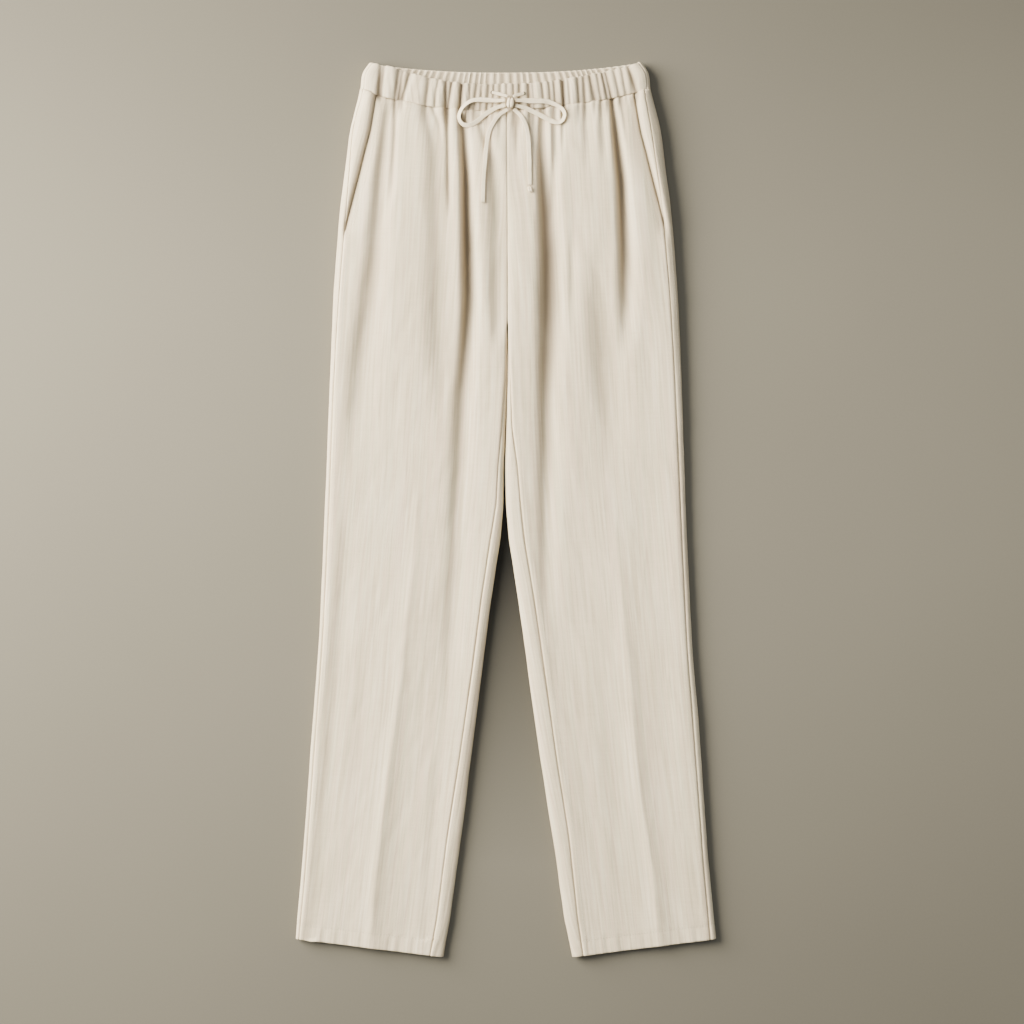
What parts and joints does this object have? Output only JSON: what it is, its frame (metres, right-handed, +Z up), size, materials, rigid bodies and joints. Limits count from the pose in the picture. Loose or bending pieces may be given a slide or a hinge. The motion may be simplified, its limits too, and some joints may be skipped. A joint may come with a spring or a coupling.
{
  "type": "linen trousers laid flat",
  "caption": "Straight-leg linen trousers with a gathered drawstring waist and slant side pockets, lying flat on their back.",
  "frame": {"origin": "on the surface the trousers lie on, below the middle of their outline", "axes": "+Z up from the surface through the front of the trousers, +Y along them towards the waist, +X towards the wearer's left leg"},
  "size_m": [0.4852, 1.033, 0.0272],
  "materials": {
    "linen": "matte slubbed linen",
    "waistband": "matte slubbed linen, gathered over elastic",
    "drawstring": "matte linen tape"
  },
  "bodies": {
    "root": {"front_panel_right": "linen", "back_panel_right": "linen", "pocket_facing_right": "linen", "front_panel_left": "linen", "back_panel_left": "linen", "pocket_facing_left": "linen", "waistband_front": "waistband", "waistband_back": "waistband", "drawstring_loop_right": "drawstring", "drawstring_tail_right": "drawstring", "drawstring_strand_right": "drawstring", "drawstring_loop_left": "drawstring", "drawstring_tail_left": "drawstring", "drawstring_strand_left": "drawstring", "drawstring_knot": "drawstring", "drawstring_end_knot": "drawstring"}
  },
  "joints": []
}
